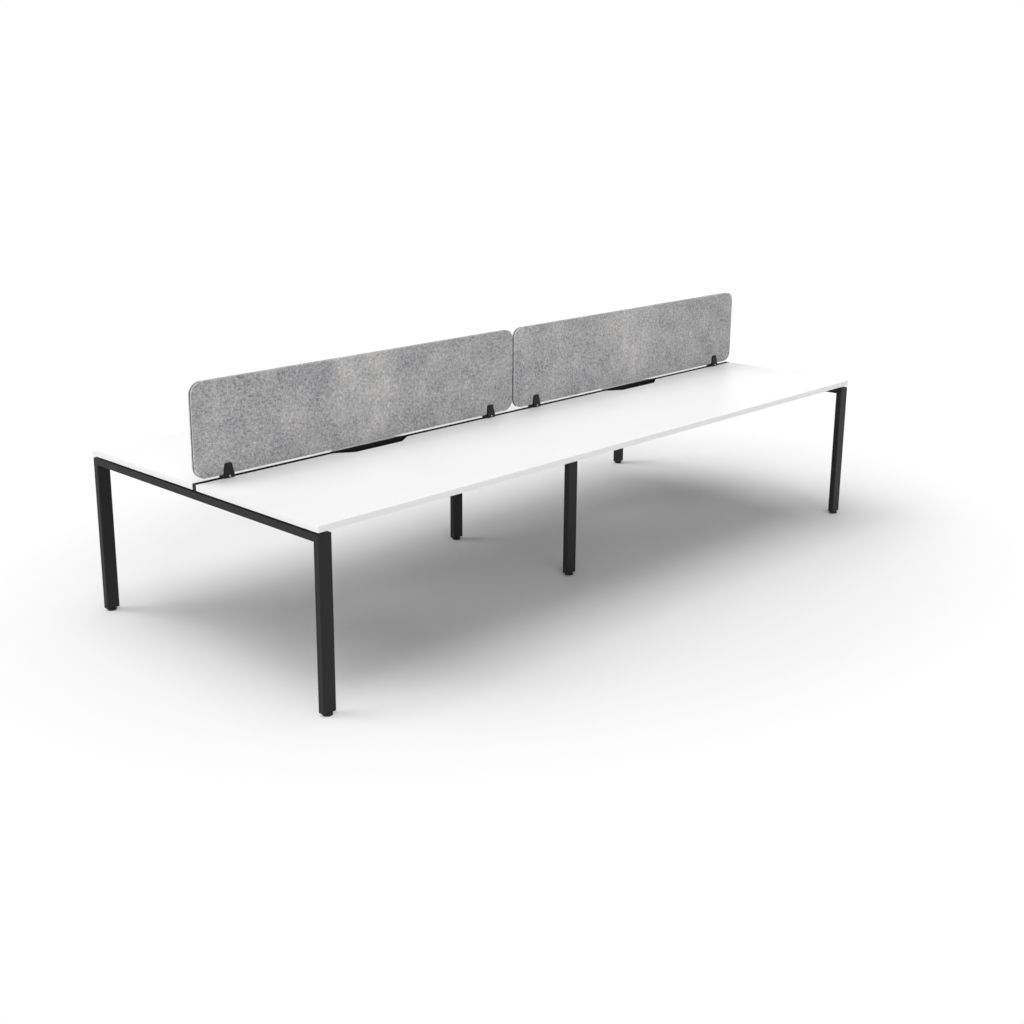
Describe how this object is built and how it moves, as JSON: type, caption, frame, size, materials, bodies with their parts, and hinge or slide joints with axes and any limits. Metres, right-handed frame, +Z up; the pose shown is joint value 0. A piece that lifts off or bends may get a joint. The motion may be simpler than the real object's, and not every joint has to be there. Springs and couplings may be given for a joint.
{
  "type": "office workstation",
  "caption": "Double-sided bench desk for facing sitters: white boards on black goalpost frames, a black strip with cable scallops along the middle, grey felt screens held in black clips",
  "frame": {"origin": "on the floor, at the middle of the desk's plan", "axes": "+X along the desk, to the right as seen from the pictured front side; -Y is that front side; +Z up"},
  "size_m": [3.6, 1.535, 1.13],
  "materials": {
    "white_board": "white melamine on chipboard, white edge band",
    "black_powder_coat": "fine matt black powder coat",
    "black_plastic": "matt black moulded nylon",
    "zinc_plated_steel": "bright zinc plate",
    "bright_screw": "polished plated screw head",
    "black_clip": "satin black die casting",
    "grey_felt": "marled mid-grey pressed felt board with softened edges"
  },
  "bodies": {
    "desk": {"beam_back_left": "black_powder_coat", "beam_back_right": "black_powder_coat", "beam_brackets": "zinc_plated_steel", "beam_front_left": "black_powder_coat", "beam_front_right": "black_powder_coat", "beam_lock_screws": "zinc_plated_steel", "bracket_screws": "zinc_plated_steel", "centre_strip_left": "black_powder_coat", "centre_strip_right": "black_powder_coat", "clip_block_1": "black_clip", "clip_block_2": "black_clip", "clip_block_3": "black_clip", "clip_block_4": "black_clip", "clip_block_screws": "zinc_plated_steel", "clip_clamp_screws": "bright_screw", "clip_front_jaw_1": "black_clip", "clip_front_jaw_2": "black_clip", "clip_front_jaw_3": "black_clip", "clip_front_jaw_4": "black_clip", "clip_rear_jaw_1": "black_clip", "clip_rear_jaw_2": "black_clip", "clip_rear_jaw_3": "black_clip", "clip_rear_jaw_4": "black_clip", "end_rail_left": "black_powder_coat", "end_rail_right": "black_powder_coat", "leg_back_left": "black_powder_coat", "leg_back_middle": "black_powder_coat", "leg_back_right": "black_powder_coat", "leg_front_left": "black_powder_coat", "leg_front_middle": "black_powder_coat", "leg_front_right": "black_powder_coat", "leg_plug_back_left": "black_plastic", "leg_plug_back_middle": "black_plastic", "leg_plug_back_right": "black_plastic", "leg_plug_front_left": "black_plastic", "leg_plug_front_middle": "black_plastic", "leg_plug_front_right": "black_plastic", "middle_rail": "black_powder_coat", "screen_left": "grey_felt", "screen_right": "grey_felt", "strip_end_caps": "black_plastic", "worktop_back_left": "white_board", "worktop_back_right": "white_board", "worktop_front_left": "white_board", "worktop_front_right": "white_board", "worktop_screws": "zinc_plated_steel", "worktop_spacers": "black_plastic"},
    "foot_front_left": {"foot_pad_front_left": "black_plastic", "foot_stem_front_left": "zinc_plated_steel"},
    "foot_back_left": {"foot_pad_back_left": "black_plastic", "foot_stem_back_left": "zinc_plated_steel"},
    "foot_front_middle": {"foot_pad_front_middle": "black_plastic", "foot_stem_front_middle": "zinc_plated_steel"},
    "foot_back_middle": {"foot_pad_back_middle": "black_plastic", "foot_stem_back_middle": "zinc_plated_steel"},
    "foot_front_right": {"foot_pad_front_right": "black_plastic", "foot_stem_front_right": "zinc_plated_steel"},
    "foot_back_right": {"foot_pad_back_right": "black_plastic", "foot_stem_back_right": "zinc_plated_steel"}
  },
  "joints": [
    {"name": "foot_front_left_level", "type": "slide", "parent": "desk", "child": "foot_front_left", "axis": [0, 0, -1], "range_m": [-0.0008, 0.015]},
    {"name": "foot_back_left_level", "type": "slide", "parent": "desk", "child": "foot_back_left", "axis": [0, 0, -1], "range_m": [-0.0008, 0.015]},
    {"name": "foot_front_middle_level", "type": "slide", "parent": "desk", "child": "foot_front_middle", "axis": [0, 0, -1], "range_m": [-0.0008, 0.015]},
    {"name": "foot_back_middle_level", "type": "slide", "parent": "desk", "child": "foot_back_middle", "axis": [0, 0, -1], "range_m": [-0.0008, 0.015]},
    {"name": "foot_front_right_level", "type": "slide", "parent": "desk", "child": "foot_front_right", "axis": [0, 0, -1], "range_m": [-0.0008, 0.015]},
    {"name": "foot_back_right_level", "type": "slide", "parent": "desk", "child": "foot_back_right", "axis": [0, 0, -1], "range_m": [-0.0008, 0.015]}
  ]
}
